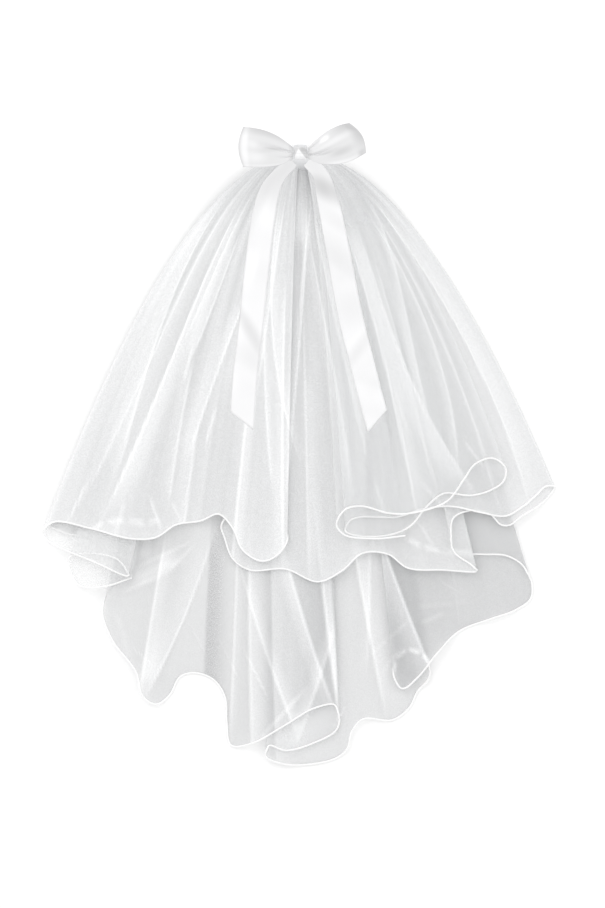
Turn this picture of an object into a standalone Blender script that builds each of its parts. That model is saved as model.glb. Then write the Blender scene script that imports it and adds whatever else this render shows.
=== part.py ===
"""A short two-tier bridal veil, laid flat: a front and a back tier of tulle with corded hems, gathered to a
narrow head under a satin bow with two tails.

Sizes in the tables are millimetres from the bow's knot: across is to the right, down is towards the hem. The
veil lies on the plane z = 0, and the hem points away from +Y. Each tier is one panel that folds back and
forth over itself, so its hem is one long path of stretches, and each stretch lies in a layer of its own.
"""

import math
from collections import namedtuple

import bmesh
import bpy
import numpy as np

MM = 0.001

# Cloth
WALL = 1.0
SEAM = 0.3
CORD_RADIUS = 0.7
CORD_TURN_GAP = 0.9
CORD_LEAN = 0.5
CORD_MOST_LIFT = 0.4
CORD_TURN_REACH = 20.0
CORD_TURN_SHARE = 0.55
RIBBON_WALL = 1.0

# How the folds fan out from the head: across = fan * (down ** FAN_POWER + FAN_THROAT)
FAN_POWER = 0.56
FAN_THROAT = 0.9
HEAD_DOWN = 9.0

# How the layers stack
LAYER_STEP = 2.6
GATHER_STEP = 1.38
SETTLE_DOWN = 90.0
LAYER_MARGIN = 1.3
TURN_REACH = 3.0
ON_TOP = 99

# Sampling of the walls
SPAN_STEPS = 16
FAN_STEP = 0.5
COLUMN_GAP = 20.0
TURN_COLUMNS = (-2.0, 2.0)
TURN_CLEAR_FAN = 0.16
ROW_SHARES = (0.0, 0.06, 0.16, 0.31, 0.49, 0.68, 0.86, 1.0)

HemPoint = namedtuple("HemPoint", "layer across down")
Ridge = namedtuple("Ridge", "fan half_width height")
TailPoint = namedtuple("TailPoint", "across down width")
HeadRing = namedtuple("HeadRing", "down half_width top")
LoopSection = namedtuple("LoopSection", "upper_across upper_down lower_across lower_down height")

# A new layer number starts the next stretch, and the panel folds over between the two points
LOWER_HEM = (
    HemPoint(0, -255, 379),
    HemPoint(0, -229, 387),
    HemPoint(0, -197, 375),
    HemPoint(0, -157, 377),
    HemPoint(1, -153, 409),
    HemPoint(1, -174, 432),
    HemPoint(1, -194, 443),
    HemPoint(2, -201, 466),
    HemPoint(2, -191, 495),
    HemPoint(2, -167, 527),
    HemPoint(2, -160, 552),
    HemPoint(2, -147, 560),
    HemPoint(2, -134, 551),
    HemPoint(2, -123, 532),
    HemPoint(2, -107, 528),
    HemPoint(2, -88, 535),
    HemPoint(2, -76, 553),
    HemPoint(2, -74, 580),
    HemPoint(2, -70, 602),
    HemPoint(2, -50, 600),
    HemPoint(2, -17, 582),
    HemPoint(2, 14, 564),
    HemPoint(2, 36, 561),
    HemPoint(1, 37, 585),
    HemPoint(1, 12, 600),
    HemPoint(1, -15, 607),
    HemPoint(1, -32, 602),
    HemPoint(0, -35, 613),
    HemPoint(0, -21, 620),
    HemPoint(0, 0, 622),
    HemPoint(0, 34, 616),
    HemPoint(0, 47, 606),
    HemPoint(0, 52, 588),
    HemPoint(0, 64, 575),
    HemPoint(0, 94, 576),
    HemPoint(0, 111, 563),
    HemPoint(0, 119, 547),
    HemPoint(0, 131, 532),
    HemPoint(1, 126, 508),
    HemPoint(1, 110, 503),
    HemPoint(1, 98, 511),
    HemPoint(1, 95, 527),
    HemPoint(3, 104, 544),
    HemPoint(3, 119, 533),
    HemPoint(3, 140, 507),
    HemPoint(3, 161, 486),
    HemPoint(3, 194, 473),
    HemPoint(3, 219, 464),
    HemPoint(3, 235, 451),
    HemPoint(4, 230, 422),
    HemPoint(4, 212, 409),
    HemPoint(4, 184, 407),
    HemPoint(4, 148, 406),
    HemPoint(4, 107, 391),
)
UPPER_HEM = (
    HemPoint(10, -172, 431),
    HemPoint(10, -201, 440),
    HemPoint(10, -226, 438),
    HemPoint(11, -235, 410),
    HemPoint(11, -212, 406),
    HemPoint(11, -185, 413),
    HemPoint(12, -175, 429),
    HemPoint(12, -209, 415),
    HemPoint(12, -243, 401),
    HemPoint(12, -258, 392),
    HemPoint(12, -262, 383),
    HemPoint(13, -251, 374),
    HemPoint(13, -212, 381),
    HemPoint(13, -173, 391),
    HemPoint(13, -148, 390),
    HemPoint(13, -127, 377),
    HemPoint(13, -102, 373),
    HemPoint(13, -83, 366),
    HemPoint(13, -68, 381),
    HemPoint(13, -58, 403),
    HemPoint(13, -38, 414),
    HemPoint(13, -21, 405),
    HemPoint(13, -13, 388),
    HemPoint(12, -22, 375),
    HemPoint(12, -46, 373),
    HemPoint(12, -71, 366),
    HemPoint(11, -80, 376),
    HemPoint(11, -76, 392),
    HemPoint(11, -68, 412),
    HemPoint(11, -51, 423),
    HemPoint(11, -15, 422),
    HemPoint(11, 18, 435),
    HemPoint(11, 42, 424),
    HemPoint(11, 63, 406),
    HemPoint(11, 90, 407),
    HemPoint(11, 110, 421),
    HemPoint(11, 146, 423),
    HemPoint(11, 180, 424),
    HemPoint(12, 175, 418),
    HemPoint(12, 157, 404),
    HemPoint(13, 155, 371),
    HemPoint(13, 176, 362),
    HemPoint(13, 194, 366),
    HemPoint(13, 205, 377),
    HemPoint(13, 214, 377),
    HemPoint(13, 224, 369),
    HemPoint(13, 239, 360),
    HemPoint(13, 252, 349),
    HemPoint(13, 259, 338),
    HemPoint(14, 250, 338),
    HemPoint(14, 240, 347),
    HemPoint(14, 227, 358),
    HemPoint(14, 209, 368),
    HemPoint(14, 183, 364),
    HemPoint(14, 153, 358),
    HemPoint(14, 125, 361),
    HemPoint(14, 98, 369),
    HemPoint(14, 78, 369),
    HemPoint(14, 61, 369),
    HemPoint(14, 50, 373),
    HemPoint(15, 46, 383),
    HemPoint(15, 58, 388),
    HemPoint(15, 92, 387),
    HemPoint(15, 112, 378),
    HemPoint(15, 127, 360),
    HemPoint(15, 146, 345),
    HemPoint(15, 173, 347),
    HemPoint(15, 193, 342),
    HemPoint(15, 207, 332),
    HemPoint(17, 208, 317),
    HemPoint(17, 196, 309),
    HemPoint(17, 178, 315),
    HemPoint(17, 166, 331),
    HemPoint(17, 149, 353),
    HemPoint(17, 113, 365),
    HemPoint(17, 90, 365),
    HemPoint(17, 63, 358),
    HemPoint(17, 46, 361),
    HemPoint(16, 37, 375),
    HemPoint(16, 45, 387),
    HemPoint(16, 76, 391),
    HemPoint(16, 107, 388),
)

# Soft ridges that run from the head to the hem through all the layers, flat cloth between them
RIDGES = (
    Ridge(-8.2, 0.9, 5),
    Ridge(-6.5, 0.9, 6),
    Ridge(-4.6, 0.9, 6),
    Ridge(-0.8, 1.0, 6),
    Ridge(1.8, 0.9, 6),
    Ridge(4.1, 0.9, 6),
    Ridge(6.2, 0.9, 6),
    Ridge(8.3, 1.0, 6),
)
RIDGE_FADE_DOWN = 60.0
RIDGE_FULL_SPREAD = 30.0

# The bunch of both tiers above and under the bow
HEAD_RINGS = (
    HeadRing(-9.5, 4.5, 9.0),
    HeadRing(-8.0, 6.5, 13.0),
    HeadRing(-4.0, 7.5, 16.5),
    HeadRing(0.0, 10.0, 18.0),
    HeadRing(2.5, 20.0, 18.0),
    HeadRing(5.5, 29.0, 18.0),
    HeadRing(8.6, 35.5, 18.0),
)
HEAD_PLEATS = 9
HEAD_PLEAT_DEPTH = 0.5

# Bow
BOW_FLOOR = 19.6
KNOT_WIDTH = 14.5
KNOT_LENGTH = 15.5
KNOT_HEIGHT = 15.0
LEFT_LOOP = (
    LoopSection(-7.2, -6.6, -7.2, 4.8, 4.2),
    LoopSection(-21, -17, -20, 11, 11),
    LoopSection(-35, -23.5, -34, 13.2, 15),
    LoopSection(-48, -26.5, -47, 13.4, 16),
    LoopSection(-58, -27.5, -58, 13.2, 14),
)
RIGHT_LOOP = (
    LoopSection(8.2, -6.4, 8.2, 4.8, 4.2),
    LoopSection(18, -16, 21, 10, 11),
    LoopSection(29, -24, 37, 10.5, 15),
    LoopSection(41, -29.5, 53, 6.5, 16),
    LoopSection(50, -31.5, 67, -1.2, 14),
)
LOOP_BULGE = 5.0
LOOP_COLUMNS = 18
LOOP_ROWS = 6

# Tails
LEFT_TAIL = (
    TailPoint(-9, 9.2, 9),
    TailPoint(-22, 22, 15),
    TailPoint(-31, 37, 20),
    TailPoint(-37, 61, 23),
    TailPoint(-44, 112, 24.5),
    TailPoint(-48, 150, 24.5),
    TailPoint(-52, 190, 24.5),
    TailPoint(-56, 222, 24.5),
    TailPoint(-59.5, 272, 24.5),
)
RIGHT_TAIL = (
    TailPoint(9, 9.2, 9),
    TailPoint(20, 20, 16),
    TailPoint(27, 42, 21),
    TailPoint(34, 75, 23),
    TailPoint(41, 112, 24),
    TailPoint(50, 160, 24.5),
    TailPoint(61, 205, 24.5),
    TailPoint(70, 240, 24.5),
    TailPoint(78.5, 272, 24.5),
)
TAIL_SLANT = 17.0
TAIL_ROWS = 24
TAIL_COLUMNS = 3

# Where the knot stands from the middle of the veil's own box
KNOT_X = 1.8
KNOT_Y = 295.9


def smooth(share):
    """0 to 1 with level ends."""
    share = min(max(share, 0.0), 1.0)
    return share * share * (3 - 2 * share)


def bump(offset):
    """1 in the middle, 0 at -1 and 1 and past them."""
    return max(0.0, 1 - offset * offset) ** 2


def spread(down):
    return down**FAN_POWER + FAN_THROAT


def curve_through(points, steps=SPAN_STEPS):
    """A smooth curve through the points, as an array with the given steps to a span."""
    points = np.array(points, float)
    ends = np.vstack([2 * points[0] - points[1], points, 2 * points[-1] - points[-2]])
    found = []
    for a, b, c, d in zip(ends, ends[1:], ends[2:], ends[3:]):
        gaps = [math.sqrt(max(np.linalg.norm(q - p), 1e-6)) for p, q in ((a, b), (b, c), (c, d))]
        tangent_b = gaps[1] * ((b - a) / gaps[0] - (c - a) / (gaps[0] + gaps[1]) + (c - b) / gaps[1])
        tangent_c = gaps[1] * ((c - b) / gaps[1] - (d - b) / (gaps[1] + gaps[2]) + (d - c) / gaps[2])
        for step in range(steps):
            t = step / steps
            found.append(
                (2 * t**3 - 3 * t**2 + 1) * b
                + (t**3 - 2 * t**2 + t) * tangent_b
                + (3 * t**2 - 2 * t**3) * c
                + (t**3 - t**2) * tangent_c
            )
    found.append(points[-1])
    return np.array(found)


class Hem:
    """A tier's hem: its path in plan, where it folds over, and which layer each stretch lies in."""

    def __init__(self, rows):
        self.path = curve_through([(row.across, row.down) for row in rows])
        steps = np.linalg.norm(np.diff(self.path, axis=0), axis=1)
        self.reach = np.concatenate([[0], np.cumsum(steps)])
        self.fans = self.path[:, 0] / (self.path[:, 1] ** FAN_POWER + FAN_THROAT)
        self.layers = [rows[0].layer]
        self.turns = []
        for i in range(len(rows) - 1):
            if rows[i].layer != rows[i + 1].layer:
                self.turns.append(self.reach[self.turn_sample(i)])
                self.layers.append(rows[i + 1].layer)
        ends = [0.0] + self.turns + [self.reach[-1]]
        self.stretches = list(zip(self.layers, ends, ends[1:]))

    def turn_sample(self, i):
        """The sample between points i and i + 1 where the path reaches furthest round the fan."""
        first = max(0, int((i - 0.6) * SPAN_STEPS))
        last = min(len(self.fans) - 1, int((i + 1.6) * SPAN_STEPS))
        going_right = self.fans[i * SPAN_STEPS] > self.fans[(i - 1) * SPAN_STEPS]
        pick = np.argmax if going_right else np.argmin
        return first + int(pick(self.fans[first : last + 1]))

    def at(self, reach):
        """Across and down at this distance along the hem."""
        return [float(np.interp(reach, self.reach, self.path[:, axis])) for axis in (0, 1)]

    def fan_range(self, start, end):
        inside = self.fans[(self.reach >= start - 1e-6) & (self.reach <= end + 1e-6)]
        return float(inside.min()), float(inside.max())

    def columns(self):
        """Distances along the hem of the wall's columns: on even fan lines, and close together at each turn."""
        found = []
        for _, start, end in self.stretches:
            inside = (self.reach >= start) & (self.reach <= end)
            fans, reaches = self.fans[inside], self.reach[inside]
            clear = np.ones(len(fans), bool)
            if start != 0:
                clear &= abs(fans - fans[0]) > TURN_CLEAR_FAN
            if end != self.reach[-1]:
                clear &= abs(fans - fans[-1]) > TURN_CLEAR_FAN
            fans, reaches = fans[clear], reaches[clear]
            first, last = reaches[0], reaches[-1]
            if fans[0] > fans[-1]:
                fans, reaches = -fans, reaches
            lines = np.arange(math.ceil(fans[0] / FAN_STEP), fans[-1] / FAN_STEP) * FAN_STEP
            places = [first, *np.interp(lines, np.maximum.accumulate(fans), reaches), last]
            for place, after in zip(places, places[1:]):
                if after - place > 4:
                    count = math.ceil((after - place) / COLUMN_GAP)
                    found += [place + (after - place) * k / count for k in range(count)]
            if end != self.reach[-1]:
                found += [end + offset for offset in TURN_COLUMNS]
        return found + [self.reach[-1]]

    def layer_mix(self, reach):
        """The layers either side of the nearest turn, and the share of the second."""
        for (before, _, turn), (after, _, _) in zip(self.stretches, self.stretches[1:]):
            if abs(reach - turn) < TURN_REACH:
                return before, after, smooth((reach - turn) / (2 * TURN_REACH) + 0.5)
        for layer, start, end in self.stretches:
            if start <= reach <= end:
                return layer, layer, 0.0
        return self.layers[-1], self.layers[-1], 0.0


LOWER = Hem(LOWER_HEM)
UPPER = Hem(UPPER_HEM)
COVERED = [
    (layer, *hem.fan_range(start, end)) for hem in (LOWER, UPPER) for layer, start, end in hem.stretches
]
RANKS = sorted({layer for layer, _, _ in COVERED}) + [ON_TOP]


def swell(fan, down):
    """The ridges, which lift every layer alike."""
    size = spread(down) / RIDGE_FULL_SPREAD * smooth(down / RIDGE_FADE_DOWN)
    return size * sum(ridge.height * bump((fan - ridge.fan) / ridge.half_width) for ridge in RIDGES)


def layer_height(layer, fan, down):
    """The height of a layer's middle: what lies under it at this place, then the ridges."""
    under = {}
    for other, low, high in COVERED:
        if other < layer:
            outside = max(low - fan, fan - high, 0.0)
            under[other] = max(under.get(other, 0.0), smooth(1 - outside / LAYER_MARGIN))
    stacked = LAYER_STEP * sum(under.values())
    gathered = GATHER_STEP * RANKS.index(layer)
    settled = smooth((down - HEAD_DOWN) / SETTLE_DOWN)
    return WALL / 2 + (1 - settled) * gathered + settled * stacked + swell(fan, down)


def placed(across, down, height):
    """A point of the veil in metres."""
    return ((KNOT_X + across) * MM, (KNOT_Y - down) * MM, height * MM)


def tier_point(hem, reach, share):
    """The wall's middle at a share of the way from the head to the hem, as across, down and height."""
    across, depth = hem.at(reach)
    fan = across / spread(depth)
    down = HEAD_DOWN + (depth - HEAD_DOWN) * share
    before, after, mix = hem.layer_mix(reach)
    height = layer_height(before, fan, down)
    if mix:
        height += mix * (layer_height(after, fan, down) - height)
    return np.array((fan * spread(down), down, height))


def material(name, color, roughness, alpha=1.0):
    made = bpy.data.materials.new(name)
    made.use_nodes = True
    shader = made.node_tree.nodes["Principled BSDF"]
    shader.inputs["Base Color"].default_value = (*color, 1)
    shader.inputs["Roughness"].default_value = roughness
    shader.inputs["Metallic"].default_value = 0.0
    shader.inputs["Alpha"].default_value = alpha
    made.diffuse_color = (*color, 1)
    return made


def new_object(name, data, finish, collection):
    made = bpy.data.objects.new(name, data)
    data.materials.append(finish)
    collection.objects.link(made)
    return made


def grid_mesh(name, rows):
    """A sheet of quads through rows of points."""
    mesh = bpy.data.meshes.new(name)
    sheet = bmesh.new()
    corners = [[sheet.verts.new(placed(*point)) for point in row] for row in rows]
    for row, after in zip(corners, corners[1:]):
        for a, b, c, d in zip(row, row[1:], after[1:], after):
            sheet.faces.new((a, d, c, b))
    sheet.to_mesh(mesh)
    sheet.free()
    mesh.shade_smooth()
    return mesh


def thicken(sheet, wall):
    solidify = sheet.modifiers.new("Wall", "SOLIDIFY")
    solidify.thickness = wall * MM
    solidify.offset = 0.0
    solidify.use_even_offset = False


def make_tier(name, hem, finish, collection):
    reaches = hem.columns()
    rows = [[tier_point(hem, reach, share) for reach in reaches] for share in ROW_SHARES]
    thicken(new_object(name, grid_mesh(name, rows), finish, collection), WALL)


def cord_point(hem, reach):
    """The middle of the edging, beside the wall's edge and nearly level with it."""
    edge = tier_point(hem, reach, 1.0)
    inside = tier_point(hem, reach, 0.99)
    along = (edge - inside) / np.linalg.norm(edge - inside)
    before = tier_point(hem, max(reach - 0.4, 0.0), 1.0)
    after = tier_point(hem, min(reach + 0.4, hem.reach[-1]), 1.0)
    tangent = (after - before) / np.linalg.norm(after - before)
    outward = along - tangent * (along @ tangent)
    outward /= np.linalg.norm(outward)
    to_turn = min(abs(reach - turn) for turn in hem.turns)
    away = SEAM + CORD_RADIUS + CORD_TURN_GAP * smooth(1 - to_turn / CORD_TURN_REACH)
    plan = outward[:2] + CORD_LEAN * along[:2]
    lift = np.clip(outward[2] * away, -CORD_MOST_LIFT, CORD_MOST_LIFT)
    across, down = edge[:2] + plan / np.linalg.norm(plan) * away
    return np.array((across, down, max(edge[2] + lift, CORD_RADIUS + 0.05)))


def make_cord(name, hem, finish, collection):
    """The edging: a thin tube just past the wall's edge, all along the hem."""
    reaches = hem.columns()
    curve = bpy.data.curves.new(name, "CURVE")
    curve.dimensions = "3D"
    curve.bevel_depth = CORD_RADIUS * MM
    curve.bevel_resolution = 1
    curve.use_fill_caps = True
    line = curve.splines.new("POLY")
    line.points.add(len(reaches) - 1)
    for point, reach in zip(line.points, reaches):
        middle = cord_point(hem, reach)
        point.co = (*placed(*middle), 1)
        to_turn = min(abs(reach - turn) for turn in hem.turns)
        point.radius = 1 - (1 - CORD_TURN_SHARE) * smooth(1.5 - to_turn / CORD_TURN_REACH)
    new_object(name, curve, finish, collection)


def make_head(finish, collection):
    """The pleated bunch, lofted through its rings and flat underneath."""
    around = HEAD_PLEATS * 4
    mesh = bpy.data.meshes.new("gathered_head")
    head = bmesh.new()
    rings = []
    for ring in HEAD_RINGS:
        corners = []
        for k in range(around):
            angle = 2 * math.pi * k / around
            pleat = 1 - HEAD_PLEAT_DEPTH / ring.top * (k % 4 == 0)
            across = ring.half_width * math.copysign(abs(math.cos(angle)) ** 0.7, math.cos(angle))
            rise = math.copysign(abs(math.sin(angle)) ** 0.6, math.sin(angle))
            height = ring.top / 2 * (1 + rise * pleat if rise > 0 else 1 + rise)
            corners.append(head.verts.new(placed(across, ring.down, height)))
        rings.append(corners)
    for ring, after in zip(rings, rings[1:]):
        for k in range(around):
            m = (k + 1) % around
            head.faces.new((ring[k], ring[m], after[m], after[k]))
    head.faces.new(rings[0][::-1])
    head.faces.new(rings[-1])
    bmesh.ops.recalc_face_normals(head, faces=head.faces)
    head.to_mesh(mesh)
    head.free()
    mesh.shade_smooth()
    new_object("gathered_head", mesh, finish, collection)


def loop_rows(sections):
    """A ribbon that runs out along the top, turns at the end and comes back underneath."""
    table = curve_through([tuple(section) for section in sections], 8)
    rows = []
    for column in range(LOOP_COLUMNS + 1):
        turn = math.pi * (column / LOOP_COLUMNS - 0.5)
        out = math.cos(turn) ** 0.6 if abs(turn) < math.pi / 2 - 1e-6 else 0.0
        place = out * (len(table) - 1)
        section = [float(np.interp(place, range(len(table)), table[:, k])) for k in range(5)]
        upper, lower = np.array(section[:2]), np.array(section[2:4])
        axis = np.array((lower[1] - upper[1], upper[0] - lower[0])) / np.linalg.norm(lower - upper)
        axis *= math.copysign(1, table[-1][0])
        row = []
        for k in range(LOOP_ROWS + 1):
            share = k / LOOP_ROWS
            edge = upper + (lower - upper) * share
            edge = edge + axis * LOOP_BULGE * out**6 * math.sin(math.pi * share)
            belly = 0.82 + 0.18 * math.sin(math.pi * share)
            rise = -math.sin(turn) * section[4] / 2 * belly
            row.append((*edge, BOW_FLOOR + 8.5 + rise))
        rows.append(row)
    return rows


def make_loop(name, sections, finish, collection):
    thicken(new_object(name, grid_mesh(name, loop_rows(sections)), finish, collection), RIBBON_WALL)


def make_knot(finish, collection):
    mesh = bpy.data.meshes.new("bow_knot")
    cage = bmesh.new()
    bmesh.ops.create_cube(cage, size=1)
    bmesh.ops.scale(cage, vec=(KNOT_WIDTH * MM, KNOT_LENGTH * MM, KNOT_HEIGHT * MM), verts=cage.verts)
    centre = placed(0.5, -0.5, BOW_FLOOR + KNOT_HEIGHT / 2 - 1.3)
    bmesh.ops.translate(cage, vec=centre, verts=cage.verts)
    creases = cage.edges.layers.float.new("crease_edge")
    for edge in cage.edges:
        edge[creases] = 0.45
    cage.to_mesh(mesh)
    cage.free()
    mesh.shade_smooth()
    knot = new_object("bow_knot", mesh, finish, collection)
    rounding = knot.modifiers.new("Rounding", "SUBSURF")
    rounding.levels = 2
    rounding.render_levels = 2


def make_tail(name, points, long_side, finish, collection):
    """A flat ribbon on top of the tulle, cut on the slant. long_side is 1 where its right edge is longer."""
    table = curve_through([tuple(point) for point in points], 8)
    places = np.linspace(0, len(table) - 1, TAIL_ROWS + 1)
    line = np.array([[np.interp(place, range(len(table)), table[:, k]) for k in range(3)] for place in places])
    along = np.gradient(line[:, :2], axis=0)
    along /= np.linalg.norm(along, axis=1)[:, None]
    rows = []
    for i, (point, direction) in enumerate(zip(line, along)):
        near_end = max(0.0, 1 - (TAIL_ROWS - i) / 3)
        side = np.array((direction[1], -direction[0]))
        row = []
        for k in range(TAIL_COLUMNS + 1):
            offset = k / TAIL_COLUMNS - 0.5
            place = point[:2] + side * point[2] * offset
            place = place + direction * long_side * offset * TAIL_SLANT * near_end
            fan = place[0] / spread(place[1])
            row.append((*place, layer_height(ON_TOP, fan, place[1])))
        rows.append(row)
    thicken(new_object(name, grid_mesh(name, rows), finish, collection), RIBBON_WALL)


def main():
    for old in list(bpy.data.objects):
        bpy.data.objects.remove(old)
    veil = bpy.data.collections.new("bridal_veil")
    bpy.context.scene.collection.children.link(veil)
    tulle = material("white_tulle", (0.93, 0.935, 0.94), 0.7, 0.35)
    bunched = material("bunched_tulle", (0.88, 0.885, 0.895), 0.7)
    cord = material("white_cord", (0.95, 0.95, 0.95), 0.4)
    satin = material("white_satin", (0.94, 0.94, 0.945), 0.3)
    make_tier("lower_tier", LOWER, tulle, veil)
    make_tier("upper_tier", UPPER, tulle, veil)
    make_cord("hem_cord_lower", LOWER, cord, veil)
    make_cord("hem_cord_upper", UPPER, cord, veil)
    make_head(bunched, veil)
    make_loop("bow_loop_left", LEFT_LOOP, satin, veil)
    make_loop("bow_loop_right", RIGHT_LOOP, satin, veil)
    make_knot(satin, veil)
    make_tail("tail_left", LEFT_TAIL, 1, satin, veil)
    make_tail("tail_right", RIGHT_TAIL, -1, satin, veil)


main()
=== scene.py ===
"""The look of the short two-tier bridal veil, laid flat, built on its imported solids.

Tables are in millimetres from the bow's knot: across is to the right, down is towards the hem. Folds of the
tulle follow lines that fan out from the head, so their places are given as a fan number and a distance down.
"""

import math
from collections import namedtuple

import bmesh
import bpy
import numpy as np
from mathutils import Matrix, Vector, noise


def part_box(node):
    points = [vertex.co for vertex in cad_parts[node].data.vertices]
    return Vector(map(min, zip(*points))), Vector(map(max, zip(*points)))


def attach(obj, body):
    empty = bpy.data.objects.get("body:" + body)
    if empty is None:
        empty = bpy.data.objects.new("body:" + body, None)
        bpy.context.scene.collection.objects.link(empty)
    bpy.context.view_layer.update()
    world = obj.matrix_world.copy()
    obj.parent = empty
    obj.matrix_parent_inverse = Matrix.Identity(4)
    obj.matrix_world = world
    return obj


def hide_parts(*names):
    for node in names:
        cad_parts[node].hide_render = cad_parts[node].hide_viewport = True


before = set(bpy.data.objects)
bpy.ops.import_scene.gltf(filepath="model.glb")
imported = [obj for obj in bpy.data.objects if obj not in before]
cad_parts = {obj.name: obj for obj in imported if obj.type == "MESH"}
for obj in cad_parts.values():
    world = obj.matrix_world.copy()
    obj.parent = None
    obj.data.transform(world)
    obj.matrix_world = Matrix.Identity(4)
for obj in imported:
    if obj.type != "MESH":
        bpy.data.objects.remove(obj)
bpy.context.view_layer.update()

MM = 0.001

# The knot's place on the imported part, from which every table is measured
KNOT_LOW, KNOT_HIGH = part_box("bow_knot")
KNOT_SHIFT = 0.5
KNOT_X = (KNOT_LOW[0] + KNOT_HIGH[0]) / 2 / MM - KNOT_SHIFT
KNOT_Y = (KNOT_LOW[1] + KNOT_HIGH[1]) / 2 / MM - KNOT_SHIFT

# Cloth
WALL = 1.0
CORD_RADIUS = 0.92
CORD_SEAT = 0.9
CORD_CLEARANCE = 0.05
NEAR_EDGE = 0.99
RIBBON_WALL = 0.4

# How the folds fan out from the head: across = fan * (down ** FAN_POWER + FAN_THROAT)
FAN_POWER = 0.56
FAN_THROAT = 0.9
HEAD_DOWN = 9.0

# How the layers stack
LAYER_STEP = 2.6
GATHER_STEP = 1.38
SETTLE_DOWN = 90.0
LAYER_MARGIN = 1.3
TURN_REACH = 3.0
ON_TOP = 99

# Sampling of the walls
SPAN_STEPS = 16
HEM_STEP = 2.3
ROWS = (146, 118)
ROW_POWERS = (0.72, 1.1)

HemPoint = namedtuple("HemPoint", "layer across down")
Ridge = namedtuple("Ridge", "fan half_width height")
Crease = namedtuple("Crease", "tier top_fan top_down low_fan low_down bow fade strength line")
Wrinkle = namedtuple("Wrinkle", "tier across down low_across low_down half_width strength")
LoopCrease = namedtuple("LoopCrease", "at_knot at_end reach depth half_width")
PaintedLoopBand = namedtuple("PaintedLoopBand", "share out lean half_share half_out strength")
TailWave = namedtuple("TailWave", "down slant half_length height")
PaintedTailBand = namedtuple("PaintedTailBand", "down side slant half_length half_side strength")
Shade = namedtuple("Shade", "cover light")
TailPoint = namedtuple("TailPoint", "across down width")
LoopSection = namedtuple("LoopSection", "upper_across upper_down lower_across lower_down height")

# A new layer number starts the next stretch, and the panel folds over between the two points
LOWER_HEM = (
    HemPoint(0, -255, 379),
    HemPoint(0, -229, 387),
    HemPoint(0, -197, 375),
    HemPoint(0, -157, 377),
    HemPoint(1, -153, 409),
    HemPoint(1, -174, 432),
    HemPoint(1, -194, 443),
    HemPoint(2, -201, 466),
    HemPoint(2, -191, 495),
    HemPoint(2, -167, 527),
    HemPoint(2, -160, 552),
    HemPoint(2, -147, 560),
    HemPoint(2, -134, 551),
    HemPoint(2, -123, 532),
    HemPoint(2, -107, 528),
    HemPoint(2, -88, 535),
    HemPoint(2, -76, 553),
    HemPoint(2, -74, 580),
    HemPoint(2, -70, 602),
    HemPoint(2, -50, 600),
    HemPoint(2, -17, 582),
    HemPoint(2, 14, 564),
    HemPoint(2, 36, 561),
    HemPoint(1, 37, 585),
    HemPoint(1, 12, 600),
    HemPoint(1, -15, 607),
    HemPoint(1, -32, 602),
    HemPoint(0, -35, 613),
    HemPoint(0, -21, 620),
    HemPoint(0, 0, 622),
    HemPoint(0, 34, 616),
    HemPoint(0, 47, 606),
    HemPoint(0, 52, 588),
    HemPoint(0, 64, 575),
    HemPoint(0, 94, 576),
    HemPoint(0, 111, 563),
    HemPoint(0, 119, 547),
    HemPoint(0, 131, 532),
    HemPoint(1, 126, 508),
    HemPoint(1, 110, 503),
    HemPoint(1, 98, 511),
    HemPoint(1, 95, 527),
    HemPoint(3, 104, 544),
    HemPoint(3, 119, 533),
    HemPoint(3, 140, 507),
    HemPoint(3, 161, 486),
    HemPoint(3, 194, 473),
    HemPoint(3, 219, 464),
    HemPoint(3, 235, 451),
    HemPoint(4, 230, 422),
    HemPoint(4, 212, 409),
    HemPoint(4, 184, 407),
    HemPoint(4, 148, 406),
    HemPoint(4, 107, 391),
)
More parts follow.
